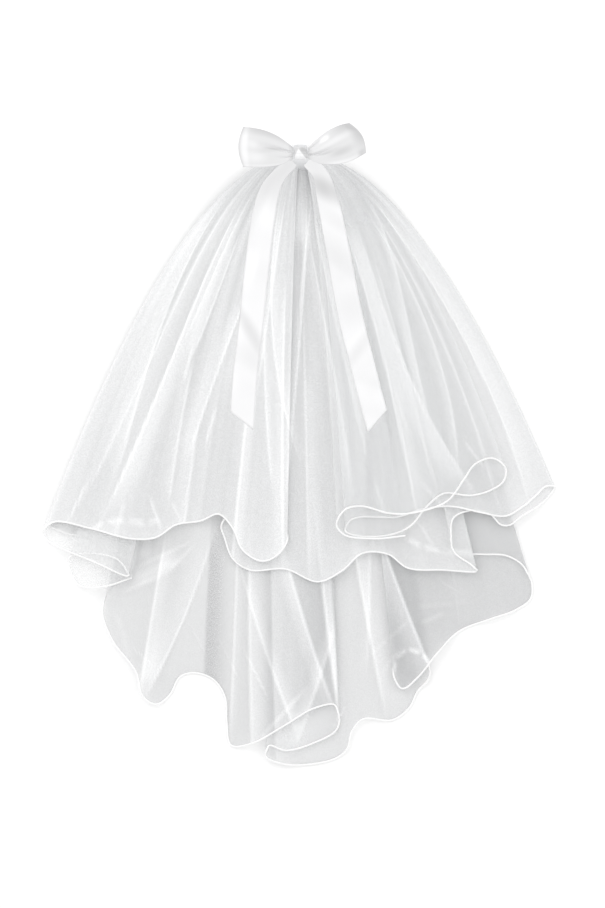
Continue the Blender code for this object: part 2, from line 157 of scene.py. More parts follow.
UPPER_HEM = (
    HemPoint(10, -172, 431),
    HemPoint(10, -201, 440),
    HemPoint(10, -226, 438),
    HemPoint(11, -235, 410),
    HemPoint(11, -212, 406),
    HemPoint(11, -185, 413),
    HemPoint(12, -175, 429),
    HemPoint(12, -209, 415),
    HemPoint(12, -243, 401),
    HemPoint(12, -258, 392),
    HemPoint(12, -262, 383),
    HemPoint(13, -251, 374),
    HemPoint(13, -212, 381),
    HemPoint(13, -173, 391),
    HemPoint(13, -148, 390),
    HemPoint(13, -127, 377),
    HemPoint(13, -102, 373),
    HemPoint(13, -83, 366),
    HemPoint(13, -68, 381),
    HemPoint(13, -58, 403),
    HemPoint(13, -38, 414),
    HemPoint(13, -21, 405),
    HemPoint(13, -13, 388),
    HemPoint(12, -22, 375),
    HemPoint(12, -46, 373),
    HemPoint(12, -71, 366),
    HemPoint(11, -80, 376),
    HemPoint(11, -76, 392),
    HemPoint(11, -68, 412),
    HemPoint(11, -51, 423),
    HemPoint(11, -15, 422),
    HemPoint(11, 18, 435),
    HemPoint(11, 42, 424),
    HemPoint(11, 63, 406),
    HemPoint(11, 90, 407),
    HemPoint(11, 110, 421),
    HemPoint(11, 146, 423),
    HemPoint(11, 180, 424),
    HemPoint(12, 175, 418),
    HemPoint(12, 157, 404),
    HemPoint(13, 155, 371),
    HemPoint(13, 176, 362),
    HemPoint(13, 194, 366),
    HemPoint(13, 205, 377),
    HemPoint(13, 214, 377),
    HemPoint(13, 224, 369),
    HemPoint(13, 239, 360),
    HemPoint(13, 252, 349),
    HemPoint(13, 259, 338),
    HemPoint(14, 250, 338),
    HemPoint(14, 240, 347),
    HemPoint(14, 227, 358),
    HemPoint(14, 209, 368),
    HemPoint(14, 183, 364),
    HemPoint(14, 153, 358),
    HemPoint(14, 125, 361),
    HemPoint(14, 98, 369),
    HemPoint(14, 78, 369),
    HemPoint(14, 61, 369),
    HemPoint(14, 50, 373),
    HemPoint(15, 46, 383),
    HemPoint(15, 58, 388),
    HemPoint(15, 92, 387),
    HemPoint(15, 112, 378),
    HemPoint(15, 127, 360),
    HemPoint(15, 146, 345),
    HemPoint(15, 173, 347),
    HemPoint(15, 193, 342),
    HemPoint(15, 207, 332),
    HemPoint(17, 208, 317),
    HemPoint(17, 196, 309),
    HemPoint(17, 178, 315),
    HemPoint(17, 166, 331),
    HemPoint(17, 149, 353),
    HemPoint(17, 113, 365),
    HemPoint(17, 90, 365),
    HemPoint(17, 63, 358),
    HemPoint(17, 46, 361),
    HemPoint(16, 37, 375),
    HemPoint(16, 45, 387),
    HemPoint(16, 76, 391),
    HemPoint(16, 107, 388),
)
# Soft ridges that run from the head to the hem through all the layers, flat cloth between them
RIDGES = (
    Ridge(-8.2, 0.9, 3.0),
    Ridge(-6.5, 0.9, 3.6),
    Ridge(-4.6, 0.9, 3.6),
    Ridge(-0.8, 1.0, 3.6),
    Ridge(1.8, 0.9, 3.6),
    Ridge(4.1, 0.9, 3.6),
    Ridge(6.2, 0.9, 3.6),
    Ridge(8.3, 1.0, 3.6),
)
RIDGE_FADE_DOWN = 60.0
RIDGE_FULL_SPREAD = 30.0

# How much net each stretch of a hem shows, and how light it is painted: painted shade on the back tier, as
# in the shade of the rest
LOWER_SHADES = (
    Shade(0.36, 0.55),
    Shade(0.14, 0.8),
    Shade(0.42, 0.62),
    Shade(0.18, 0.85),
    Shade(0.45, 0.66),
    Shade(0.16, 0.8),
    Shade(0.50, 0.53),
    Shade(0.16, 0.8),
)
UPPER_SHADES = (
    Shade(0.27, 0.93),
    Shade(0.20, 0.93),
    Shade(0.26, 0.93),
    Shade(0.60, 0.95),
    Shade(0.14, 0.8),
    Shade(0.56, 0.95),
    Shade(0.14, 0.8),
    Shade(0.42, 0.90),
    Shade(0.46, 0.92),
    Shade(0.14, 0.9),
    Shade(0.14, 0.9),
    Shade(0.14, 0.9),
)

# Folds seen in the tulle: a crisp edge that fades over so much fan to one side. A fold of strength above 0
# is more net
# with painted light on it; one below 0 is painted shade in the gap between folds, with no less net
LOWER, UPPER = 0, 1
CREASES = (
    Crease(UPPER, -6.0, 55, -6.9, 340, 0.2, 1.0, 0.12, 0.17),
    Crease(UPPER, -8.1, 45, -7.1, 300, 0.1, -1.3, 0.09, 0.09),
    Crease(UPPER, -7.2, 40, -7.9, 330, 0.3, -0.4, 0.04, 0.07),
    Crease(UPPER, -4.9, 90, -5.3, 200, 0.1, -0.8, 0.09, 0.10),
    Crease(UPPER, -5.5, 45, -5.9, 180, 0.1, 0.5, 0.06, 0.09),
    Crease(UPPER, -3.4, 160, -4.4, 300, -0.1, -0.9, 0.09, 0.13),
    Crease(UPPER, -5.2, 220, -4.85, 350, 0.0, -0.5, 0.05, 0.09),
    Crease(UPPER, -4.3, 290, -4.1, 400, 0.0, -0.6, 0.06, 0.10),
    Crease(UPPER, -3.6, 240, -3.5, 410, 0.0, 1.1, -0.09, 0.00),
    Crease(UPPER, -2.3, 230, -2.3, 420, 0.0, 0.5, 0.07, 0.11),
    Crease(UPPER, -2.1, 60, -0.3, 290, -0.3, 0.5, 0.06, 0.09),
    Crease(UPPER, -1.6, 60, -1.9, 220, 0.0, -0.3, 0.05, 0.08),
    Crease(UPPER, -0.9, 150, -0.6, 400, 0.0, -0.5, 0.07, 0.14),
    Crease(UPPER, -0.4, 60, 0.2, 230, 0.0, 0.6, -0.07, 0.00),
    Crease(UPPER, 0.6, 60, -0.5, 330, -0.1, -0.4, 0.06, 0.11),
    Crease(UPPER, -1.9, 180, -1.1, 330, 0.0, 0.3, 0.05, 0.08),
    Crease(UPPER, 0.2, 180, 0.3, 420, 0.0, 0.7, 0.06, 0.08),
    Crease(UPPER, 1.9, 12, 0.0, 170, -0.5, 0.3, 0.06, 0.09),
    Crease(UPPER, 0.8, 95, 1.9, 330, 0.2, -0.6, 0.05, 0.11),
    Crease(UPPER, 1.2, 60, 2.6, 300, 0.1, 0.5, 0.07, 0.07),
    Crease(UPPER, 2.9, 250, 2.2, 420, 0.0, 0.4, -0.07, 0.00),
    Crease(UPPER, 3.8, 80, 4.2, 350, 0.1, 0.7, 0.08, 0.17),
    Crease(UPPER, 3.3, 60, 3.7, 300, 0.1, 0.3, -0.08, 0.00),
    Crease(UPPER, 4.7, 95, 6.3, 330, -0.5, -1.1, 0.12, 0.14),
    Crease(UPPER, 5.1, 120, 5.1, 330, -0.1, -0.4, 0.06, 0.10),
    Crease(UPPER, 7.8, 20, 5.5, 250, -0.5, -0.5, 0.08, 0.10),
    Crease(UPPER, 6.5, 72, 6.3, 300, 0.4, -0.4, 0.06, 0.14),
    Crease(UPPER, 6.9, 30, 7.3, 330, 0.2, 0.4, 0.04, 0.12),
    Crease(UPPER, 7.4, 22, 8.5, 330, 0.5, 0.9, 0.10, 0.12),
    Crease(UPPER, -0.5, 4, -0.4, 90, 0.0, 2.0, 0.12, 0.0),
    Crease(LOWER, -0.5, 4, -0.4, 90, 0.0, 2.0, 0.12, 0.0),
    Crease(LOWER, -4.7, 400, -4.65, 540, 0.0, 0.7, 0.18, 0.10),
    Crease(LOWER, -3.1, 395, -4.4, 545, 0.1, -0.9, 0.18, 0.11),
    Crease(LOWER, -3.1, 380, -2.6, 620, 0.0, 0.8, -0.30, 0.00),
    Crease(LOWER, -2.25, 350, -1.95, 590, 0.05, 0.25, 0.13, 0.11),
    Crease(LOWER, -1.85, 350, -1.3, 610, 0.0, 0.8, 0.21, 0.08),
    Crease(LOWER, -1.0, 380, -0.6, 620, 0.0, 1.9, 0.20, 0.0),
    Crease(LOWER, -1.9, 430, -0.1, 590, 0.0, 0.4, 0.08, 0.10),
    Crease(LOWER, -0.6, 400, 0.9, 560, 0.0, -0.5, 0.13, 0.10),
    Crease(LOWER, 0.5, 350, 1.1, 570, 0.0, 0.3, 0.18, 0.10),
    Crease(LOWER, 0.95, 400, 1.05, 540, 0.0, -0.3, 0.11, 0.07),
    Crease(LOWER, 1.0, 490, -0.1, 600, 0.0, -0.4, 0.10, 0.08),
    Crease(LOWER, 1.7, 350, 2.4, 560, 0.0, 0.7, 0.18, 0.09),
    Crease(LOWER, 2.4, 400, 2.0, 520, 0.0, -0.3, 0.08, 0.08),
    Crease(LOWER, 2.7, 380, 3.9, 530, 0.0, -0.8, 0.18, 0.11),
    Crease(LOWER, 5.2, 380, 5.0, 470, 0.0, 0.4, 0.03, 0.04),
)

# Short creases and hems of deeper layers that show through, as straight lines, soft at both ends: more net,
# painted lighter
WRINKLES = (
    Wrinkle(LOWER, -112, 406, -180, 440, 12.0, 0.14),
    Wrinkle(LOWER, -190, 462, -170, 520, 6.0, 0.08),
    Wrinkle(LOWER, 115, 462, 185, 455, 4.0, 0.06),
    Wrinkle(LOWER, 134, 520, 124, 509, 3.6, 0.17),
    Wrinkle(LOWER, 124, 509, 109, 504, 3.6, 0.17),
    Wrinkle(LOWER, 109, 504, 97, 515, 3.6, 0.17),
    Wrinkle(LOWER, 97, 515, 95, 531, 3.6, 0.17),
    Wrinkle(LOWER, -154, 380, -158, 418, 9.0, 0.10),
    Wrinkle(LOWER, -105, 392, -173, 424, 3.2, 0.13),
    Wrinkle(LOWER, -104, 394, -138, 428, 3.2, 0.12),
    Wrinkle(LOWER, -138, 428, -188, 449, 3.2, 0.13),
    Wrinkle(UPPER, -252, 379, -232, 386, 4.2, 0.13),
    Wrinkle(UPPER, -232, 386, -214, 384, 4.2, 0.13),
    Wrinkle(UPPER, -214, 384, -199, 375, 4.2, 0.13),
    Wrinkle(UPPER, -199, 375, -177, 373, 4.2, 0.12),
    Wrinkle(UPPER, -177, 373, -156, 377, 4.2, 0.10),
    Wrinkle(UPPER, -156, 377, -142, 371, 4.2, 0.08),
    Wrinkle(UPPER, 109, 392, 124, 400, 4.0, 0.10),
    Wrinkle(UPPER, 124, 400, 145, 405, 4.0, 0.10),
    Wrinkle(UPPER, 145, 405, 189, 408, 4.0, 0.10),
    Wrinkle(LOWER, 136, 430, 172, 452, 1.4, 0.08),
    Wrinkle(LOWER, 120, 480, 150, 466, 4.0, 0.08),
    Wrinkle(LOWER, 60, 520, 118, 470, 2.6, 0.06),
    Wrinkle(LOWER, 83, 530, 104, 500, 2.8, 0.08),
    Wrinkle(LOWER, 10, 540, -45, 600, 3.4, 0.10),
    Wrinkle(LOWER, -60, 500, -30, 560, 1.6, 0.12),
    Wrinkle(LOWER, -118, 470, -90, 520, 1.6, 0.10),
    Wrinkle(LOWER, -150, 520, -175, 500, 1.6, 0.10),
    Wrinkle(LOWER, -90, 480, -60, 540, 1.6, 0.10),
    Wrinkle(LOWER, 30, 590, 48, 560, 1.5, 0.12),
    Wrinkle(UPPER, -178, 350, -190, 395, 2.0, 0.12),
    Wrinkle(UPPER, -155, 345, -140, 388, 2.6, 0.10),
    Wrinkle(UPPER, -132, 352, -120, 378, 2.4, 0.08),
    Wrinkle(UPPER, -215, 330, -240, 380, 2.0, 0.12),
    Wrinkle(UPPER, -108, 190, -120, 235, 2.2, 0.12),
    Wrinkle(UPPER, -85, 255, -98, 300, 2.0, 0.12),
    Wrinkle(UPPER, 120, 330, 155, 370, 1.8, 0.12),
    Wrinkle(UPPER, 75, 330, 88, 372, 1.8, 0.12),
    Wrinkle(UPPER, 165, 290, 190, 322, 1.8, 0.16),
    Wrinkle(UPPER, 92, 225, 112, 290, 2.0, 0.10),
    Wrinkle(UPPER, 118, 372, 140, 405, 2.6, 0.06),
)
CREASE_HEIGHT = 2.4
CREASE_FADE = 0.15
WRINKLE_FADE = 0.3
EDGE_FAN = 0.10
LINE_FAN = 0.075

# How folds and streaks change the net and its painted light. Their strengths are stated for a place whose
# cover is FOLD_COVER
FOLD_COVER = 0.45
FOLD_PAINTED_LIGHT = 1.1
COVER_LIMITS = (0.03, 0.94)
LEAST_LEAN = 0.35
NET_SHIFT = 37.3
STREAK_COVER = 0.05
STREAK_LIMITS = (0.35, 1.4)
STREAK_FADE_DOWN = 330.0
WIDE_STREAK = (2.3, 0.004, 5.0, 0.0)
FINE_STREAK = (5.5, 0.006, 1.0, 9.0)
FINE_STREAK_SHARE = 0.6

# How dense the net is where it is gathered, and how light it is painted there, on the lower and the upper
# tier:
# painted light on the lower tier against the shade deep in its gathers, and the upper tier painted darker
GATHER_REACH = 90.0
GATHER_COVER = 0.66
GATHER_PAINTED_LIGHT = (0.92, 0.72)
GATHER_STREAKS = 3.0
GATHER_EASE = 0.25
GATHER_EASE_FROM = 30.0
GATHER_EASE_OVER = 60.0

# Finishes. The threads multiply the net's cover, from the most on a thread to the least between threads
TULLE_COLOR = (0.93, 0.935, 0.94)
# The tulle's colour is painted between these two: painted shade and painted light
TULLE_IN_SHADE = (0.22, 0.225, 0.235)
TULLE_IN_LIGHT = (0.95, 0.955, 0.96)
SATIN_COLOR = (0.71, 0.71, 0.716)
CORD_COLOR = (0.93, 0.93, 0.93)
# The gathered bunch is coloured greyer than the tulle: painted shade under the bow
BUNCH_PAINTED_SHADE_COLOR = (0.66, 0.665, 0.675)
TABLE_COLOR = (0.95, 0.95, 0.95)
NET_SCALE = 900.0
NET_UNEVENNESS = 0.8
NET_THREADS = {"From Min": 0.02, "From Max": 0.22, "To Min": 1.16, "To Max": 0.90}
WEAVE_SCALE = 420.0
WEAVE_DEPTH = 0.0002
THREAD_DEPTH = 0.0004

# Bow
BOW_FLOOR = 19.6
KNOT_HALF_WIDTH = 6.4
KNOT_HALF_LENGTH = 6.4
KNOT_TWIST = 0.7
KNOT_OFF = 0.4
KNOT_FOLD = 0.8
KNOT_FOLD_SLANT = 0.55
KNOT_FOLD_WIDTH = 0.4
KNOT_WAIST = 0.28
# Painted shade on the knot, a painted lit facet on its lower left and a painted shaded dome opposite it
KNOT_PAINTED_SHADE = 0.84
FACET_PAINTED_LIGHT = 0.40
FACET_PLACE = -0.25
FACET_SLOPE = 1.5
FACET_REACH = 0.85
FACET_SOFTNESS = 0.3
DOME_PAINTED_SHADE = -0.16
DOME_FROM = -0.2
DOME_SOFTNESS = 0.5
LEFT_LOOP = (
    LoopSection(-7.2, -6.6, -7.2, 4.8, 4.2),
    LoopSection(-21, -17, -20, 11, 11),
    LoopSection(-35, -23.5, -34, 13.2, 15),
    LoopSection(-48, -26.5, -47, 13.4, 16),
    LoopSection(-58, -27.5, -58, 13.2, 14),
)
RIGHT_LOOP = (
    LoopSection(8.2, -6.4, 8.2, 4.8, 4.2),
    LoopSection(18, -16, 21, 10, 11),
    LoopSection(29, -24, 37, 10.5, 15),
    LoopSection(41, -29.5, 53, 6.5, 16),
    LoopSection(50, -31.5, 67, -1.2, 14),
)
LOOP_BULGE = 5.0
LOOP_MIDDLE = 8.5
LOOP_ROUNDING = 0.6
LOOP_CREASE_NARROWEST = 0.6
LOOP_BELLY = 0.18
# Painted light on the loop's underside, near the turn
LOOP_INSIDE_PAINTED_LIGHT = 0.12
LOOP_INSIDE_REACH = 0.12
LEFT_LOOP_CREASES = (
    LoopCrease(0.46, 0.46, 0.85, 4.5, 0.13),
    LoopCrease(0.80, 0.70, 0.45, 1.5, 0.12),
)
RIGHT_LOOP_CREASES = (
    LoopCrease(0.66, 0.42, 0.80, 4.5, 0.12),
    LoopCrease(0.20, 0.10, 0.50, 1.5, 0.12),
)

# Painted light and painted shade: bands of reflection and shade painted on the satin. Share goes across the
# ribbon, out along the loop
DARKEST_PAINTED_SHADE = 0.74
LEFT_LOOP_PAINTED_BANDS = (
    PaintedLoopBand(0.0, 0.55, 0.0, 0.24, 0.9, -0.20),
    PaintedLoopBand(0.5, 0.91, 0.0, 0.9, 0.10, 0.18),
    PaintedLoopBand(0.5, 1.0, 0.0, 2.0, 0.05, -0.12),
    PaintedLoopBand(0.74, 0.72, 0.0, 0.22, 0.3, 0.12),
    PaintedLoopBand(0.42, 0.75, 0.0, 0.16, 0.16, 0.10),
    PaintedLoopBand(0.47, 0.36, 0.0, 0.06, 0.26, -0.20),
    PaintedLoopBand(0.55, 0.5, 0.2, 0.10, 0.3, -0.08),
    PaintedLoopBand(1.0, 0.6, 0.0, 0.10, 0.6, 0.12),
)
RIGHT_LOOP_PAINTED_BANDS = (
    PaintedLoopBand(0.0, 0.9, 0.0, 0.34, 0.46, -0.24),
    PaintedLoopBand(0.35, 1.0, 0.0, 0.75, 0.20, -0.24),
    PaintedLoopBand(0.34, 0.55, -0.25, 0.14, 0.5, 0.12),
    PaintedLoopBand(0.16, 0.38, 0.0, 0.12, 0.14, 0.34),
    PaintedLoopBand(0.62, 0.38, -0.25, 0.08, 0.3, -0.20),
    PaintedLoopBand(0.68, 0.62, -0.1, 0.16, 0.3, -0.16),
    PaintedLoopBand(0.98, 0.62, 0.0, 0.12, 0.4, 0.16),
    PaintedLoopBand(0.95, 0.93, 0.0, 0.16, 0.10, -0.2),
)

# Tails
LEFT_TAIL = (
    TailPoint(-7, 7.6, 11),
    TailPoint(-22, 22, 15),
    TailPoint(-31, 37, 20),
    TailPoint(-37, 61, 23),
    TailPoint(-44, 112, 24.5),
    TailPoint(-48, 150, 24.5),
    TailPoint(-52, 190, 24.5),
    TailPoint(-56, 222, 24.5),
    TailPoint(-59.5, 272, 24.5),
)
RIGHT_TAIL = (
    TailPoint(7.5, 7.4, 12),
    TailPoint(20, 20, 16),
    TailPoint(27, 42, 21),
    TailPoint(34, 75, 23),
    TailPoint(41, 112, 24),
    TailPoint(50, 160, 24.5),
    TailPoint(61, 205, 24.5),
    TailPoint(70, 240, 24.5),
    TailPoint(78.5, 272, 24.5),
)
TAIL_SLANT = 17.0
TAIL_SLANT_REACH = 0.125
TAIL_LIFT = 0.4
TAIL_LIFT_FROM = 20.0
TAIL_LIFT_OVER = 40.0
# The tails' satin painted lighter than the loops, as painted light
TAIL_PAINTED_LIGHT = 1.19
LEFT_WAVES = (
    TailWave(70, 0.2, 34, 2.6),
    TailWave(128, -0.3, 26, 1.6),
    TailWave(196, 0.6, 24, 3.2),
    TailWave(246, -0.2, 26, 2.0),
)
RIGHT_WAVES = (
    TailWave(52, 0.4, 22, 2.3),
    TailWave(98, 0.8, 24, 2.6),
    TailWave(152, -0.6, 26, 2.0),
    TailWave(206, -0.8, 24, 3.2),
    TailWave(252, 0.3, 20, 2.0),
)
# Painted shade near the knot, and painted bands of shade and reflection along each tail
LEFT_TAIL_PAINTED_BANDS = (
    PaintedTailBand(14, 0.0, 0.0, 66, 1.8, -0.22),
    PaintedTailBand(60, 0.3, 0.4, 22, 0.8, 0.06),
    PaintedTailBand(118, 0.6, 0.0, 22, 0.4, -0.05),
    PaintedTailBand(180, 0.0, 1.3, 16, 2.0, -0.20),
    PaintedTailBand(203, 0.55, 0.6, 22, 0.7, -0.07),
    PaintedTailBand(236, 0.5, 0.0, 20, 0.8, -0.04),
)
RIGHT_TAIL_PAINTED_BANDS = (
    PaintedTailBand(12, 0.0, 0.0, 60, 1.8, -0.15),
    PaintedTailBand(36, 0.0, 0.5, 19, 1.8, -0.29),
    PaintedTailBand(66, 0.6, 0.6, 14, 0.6, -0.05),
    PaintedTailBand(100, 0.0, 0.3, 40, 1.8, -0.10),
    PaintedTailBand(150, 0.0, 0.0, 36, 1.8, -0.08),
    PaintedTailBand(198, 0.1, -1.0, 13, 1.8, -0.14),
    PaintedTailBand(236, 0.7, 0.0, 18, 0.8, -0.06),
)

# The bunch of both tiers above and under the bow, as down, half width and top
HEAD_RINGS = (
    (-9.5, 4.5, 10.0),
    (-8.8, 6.5, 17.0),
    (-6.0, 7.2, 22.0),
    (-2.0, 9.0, 19.0),
    (1.0, 17.0, 17.5),
    (4.5, 27.0, 17.5),
    (8.6, 35.5, 17.0),
    (13.0, 40.0, 13.5),
    (17.0, 42.0, 8.0),
)
PLEATS = 26
PLEAT_DEPTH = 0.09
PLEAT_FULL_TOP = 14.0
HEAD_SQUARENESS = (0.7, 0.6)

# Camera: straight above, framed as the photograph is
VIEW_CENTRE = (4.1, -9.7)
VIEW_HEIGHT = 926.2
CAMERA_HEIGHT = 20000.0
CAMERA_FAR = 30.0

# Lamps and the white table, in metres and watts
KEY_LAMP = ("key", (-1.4, 1.5, 1.9), 1.8, 17)
FILL_LAMP = ("fill", (1.9, 0.2, 1.6), 1.6, 7)
SKY_STRENGTH = 0.96
TABLE_HALF_SIZE = 4.0
TABLE_DROP = 0.0005


def smooth(share):
    """0 to 1 with level ends."""
    share = np.clip(share, 0.0, 1.0)
    return share * share * (3 - 2 * share)


def bump(offset):
    """1 in the middle, 0 at -1 and 1 and past them."""
    return np.maximum(0.0, 1 - np.square(offset)) ** 2


def spread(down):
    return down**FAN_POWER + FAN_THROAT


def curve_through(points, steps=SPAN_STEPS):
    """A smooth curve through the points, as an array with the given steps to a span."""
    points = np.array(points, float)
    ends = np.vstack([2 * points[0] - points[1], points, 2 * points[-1] - points[-2]])
    found = []
    for a, b, c, d in zip(ends, ends[1:], ends[2:], ends[3:]):
        gaps = [math.sqrt(max(np.linalg.norm(q - p), 1e-6)) for p, q in ((a, b), (b, c), (c, d))]
        tangent_b = gaps[1] * ((b - a) / gaps[0] - (c - a) / (gaps[0] + gaps[1]) + (c - b) / gaps[1])
        tangent_c = gaps[1] * ((c - b) / gaps[1] - (d - b) / (gaps[1] + gaps[2]) + (d - c) / gaps[2])
        for step in range(steps):
            t = step / steps
            found.append(
                (2 * t**3 - 3 * t**2 + 1) * b
                + (t**3 - 2 * t**2 + t) * tangent_b
                + (3 * t**2 - 2 * t**3) * c
                + (t**3 - t**2) * tangent_c
            )
    found.append(points[-1])
    return np.array(found)


class Hem:
    """A tier's hem: its path in plan, where it folds over, and which layer and shade each stretch has."""

    def __init__(self, rows, shades):
        self.path = curve_through([(row.across, row.down) for row in rows])
        steps = np.linalg.norm(np.diff(self.path, axis=0), axis=1)
        self.reach = np.concatenate([[0], np.cumsum(steps)])
        self.fans = self.path[:, 0] / spread(self.path[:, 1])
        self.layers = [rows[0].layer]
        self.turns = []
        for i in range(len(rows) - 1):
            if rows[i].layer != rows[i + 1].layer:
                self.turns.append(self.reach[self.turn_sample(i)])
                self.layers.append(rows[i + 1].layer)
        ends = [0.0] + self.turns + [self.reach[-1]]
        self.stretches = list(zip(self.layers, ends, ends[1:]))
        self.shades = shades
        found = []
        for _, start, end in self.stretches:
            count = math.ceil((end - start) / HEM_STEP)
            found += [start + (end - start) * k / count for k in range(count)]
        self.columns = np.array(found + [self.reach[-1]])
        self.mixes = [self.mix(reach) for reach in self.columns]

    def turn_sample(self, i):
        """The sample between points i and i + 1 where the path reaches furthest round the fan."""
        first = max(0, int((i - 0.6) * SPAN_STEPS))
        last = min(len(self.fans) - 1, int((i + 1.6) * SPAN_STEPS))
        going_right = self.fans[i * SPAN_STEPS] > self.fans[(i - 1) * SPAN_STEPS]
        pick = np.argmax if going_right else np.argmin
        return first + int(pick(self.fans[first : last + 1]))

    def at(self, reach):
        """Across and down at this distance along the hem, or at each of several."""
        return [np.interp(reach, self.reach, self.path[:, axis]) for axis in (0, 1)]

    def fan_range(self, start, end):
        inside = self.fans[(self.reach >= start - 1e-6) & (self.reach <= end + 1e-6)]
        return float(inside.min()), float(inside.max())

    def mix(self, reach):
        """The stretches either side of the nearest turn, and the share of the second."""
        for i, turn in enumerate(self.turns):
            if abs(reach - turn) < TURN_REACH:
                return i, i + 1, smooth((reach - turn) / (2 * TURN_REACH) + 0.5)
        for i, (_, start, end) in enumerate(self.stretches):
            if start <= reach <= end:
                return i, i, 0.0
        return len(self.layers) - 1, len(self.layers) - 1, 0.0


HEMS = (Hem(LOWER_HEM, LOWER_SHADES), Hem(UPPER_HEM, UPPER_SHADES))
COVERED = [(layer, *hem.fan_range(start, end)) for hem in HEMS for layer, start, end in hem.stretches]
RANKS = sorted({layer for layer, _, _ in COVERED}) + [ON_TOP]


def swell(fan, down):
    """The ridges, which lift every layer alike."""
    size = spread(down) / RIDGE_FULL_SPREAD * smooth(down / RIDGE_FADE_DOWN)
    return size * sum(ridge.height * bump((fan - ridge.fan) / ridge.half_width) for ridge in RIDGES)


def layer_height(layer, fan, down):
    """The height of a layer's middle: what lies under it at this place, the ridges, then the creases."""
    under = {}
    for other, low, high in COVERED:
        if other < layer:
            outside = np.maximum(np.maximum(low - fan, fan - high), 0.0)
            under[other] = np.maximum(under.get(other, 0.0), smooth(1 - outside / LAYER_MARGIN))
    stacked = LAYER_STEP * sum(under.values(), np.zeros_like(fan))
    gathered = GATHER_STEP * RANKS.index(layer)
    settled = smooth((down - HEAD_DOWN) / SETTLE_DOWN)
    height = WALL / 2 + (1 - settled) * gathered + settled * stacked + swell(fan, down)
    height += CREASE_HEIGHT * np.maximum(creased(LOWER, fan, down)[0], 0)
    if layer >= HEMS[UPPER].layers[0]:
        height += CREASE_HEIGHT * np.maximum(creased(UPPER, fan, down)[0], 0)
    return height


def creased(tier, fan, down):
    """How much net the creases add or take away at each place, as a soft part and a crisp line."""
    soft = np.zeros_like(fan)
    crisp = np.zeros_like(fan)
    for crease in CREASES:
        if crease.tier != tier:
            continue
        share = (down - crease.top_down) / (crease.low_down - crease.top_down)
        ends = smooth((share + CREASE_FADE) / (2 * CREASE_FADE))
        ends = ends * smooth((1 + CREASE_FADE - share) / (2 * CREASE_FADE))
        bow = crease.bow * 4 * share * (1 - share)
        off = fan - crease.top_fan - (crease.low_fan - crease.top_fan) * share - bow
        faded = np.where(off * crease.fade > 0, bump(off / crease.fade), bump(off / EDGE_FAN))
        soft += crease.strength * ends * faded
        crisp += crease.line * ends * bump(off / LINE_FAN)
    across = fan * spread(down)
    for wrinkle in WRINKLES:
        if wrinkle.tier != tier:
            continue
        run = np.array((wrinkle.low_across - wrinkle.across, wrinkle.low_down - wrinkle.down))
        length = np.linalg.norm(run)
        run = run / length
        right, below = across - wrinkle.across, down - wrinkle.down
        along = (right * run[0] + below * run[1]) / length
        off = (right * run[1] - below * run[0]) / wrinkle.half_width
        ends = smooth(along / WRINKLE_FADE) * smooth((1 - along) / WRINKLE_FADE)
        crisp += wrinkle.strength * bump(off) * ends
    return soft, crisp


def placed(across, down, height):
    """A point of the veil in metres."""
    return (float(KNOT_X + across) * MM, float(KNOT_Y - down) * MM, float(height) * MM)


def tier_points(hem, reaches, share, mixes):
    """The tulle's places along a row, a share of the way from head to hem, as across, down and height."""
    across, depth = hem.at(reaches)
    fan = across / spread(depth)
    down = HEAD_DOWN + (depth - HEAD_DOWN) * share
    height = np.zeros_like(fan)
    before = np.array([hem.layers[mix[0]] for mix in mixes])
    after = np.array([hem.layers[mix[1]] for mix in mixes])
    shares = np.array([mix[2] for mix in mixes])
    for layer in set(hem.layers):
        weight = (before == layer) * (1 - shares) + (after == layer) * shares
        chosen = weight > 0
        height[chosen] += weight[chosen] * layer_height(layer, fan[chosen], down[chosen])
    return np.column_stack((fan * spread(down), down, height))


def new_object(name, data, finish):
    made = bpy.data.objects.new(name, data)
    data.materials.append(finish)
    bpy.context.scene.collection.objects.link(made)
    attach(made, "root")
    return made


def grid_mesh(name, rows):
    """A sheet of quads through rows of points."""
    mesh = bpy.data.meshes.new(name)
    sheet = bmesh.new()
    corners = [[sheet.verts.new(placed(*point)) for point in row] for row in rows]
    for row, after in zip(corners, corners[1:]):
        for a, b, c, d in zip(row, row[1:], after[1:], after):
            sheet.faces.new((a, d, c, b))
    sheet.to_mesh(mesh)
    sheet.free()
    mesh.shade_smooth()
    return mesh


def add_uv(mesh, places):
    """A UV map in metres from one place for each vertex."""
    layer = mesh.uv_layers.new(name="cloth")
    loops = np.empty(len(mesh.loops), np.int32)
    mesh.loops.foreach_get("vertex_index", loops)
    layer.data.foreach_set("uv", (np.array(places, np.float32) * MM)[loops].ravel())


def add_values(mesh, name, values):
    layer = mesh.attributes.new(name, "FLOAT", "POINT")
    layer.data.foreach_set("value", np.array(values, np.float32).ravel())


def thicken(sheet, wall):
    solidify = sheet.modifiers.new("Wall", "SOLIDIFY")
    solidify.thickness = wall * MM
    solidify.offset = 0.0
    solidify.use_even_offset = False


def principled(name, color, roughness):
    made = bpy.data.materials.new(name)
    made.use_nodes = True
    shader = made.node_tree.nodes["Principled BSDF"]
    shader.inputs["Base Color"].default_value = (*color, 1)
    shader.inputs["Roughness"].default_value = roughness
    made.diffuse_color = (*color, 1)
    return made, made.node_tree.nodes, made.node_tree.links, shader


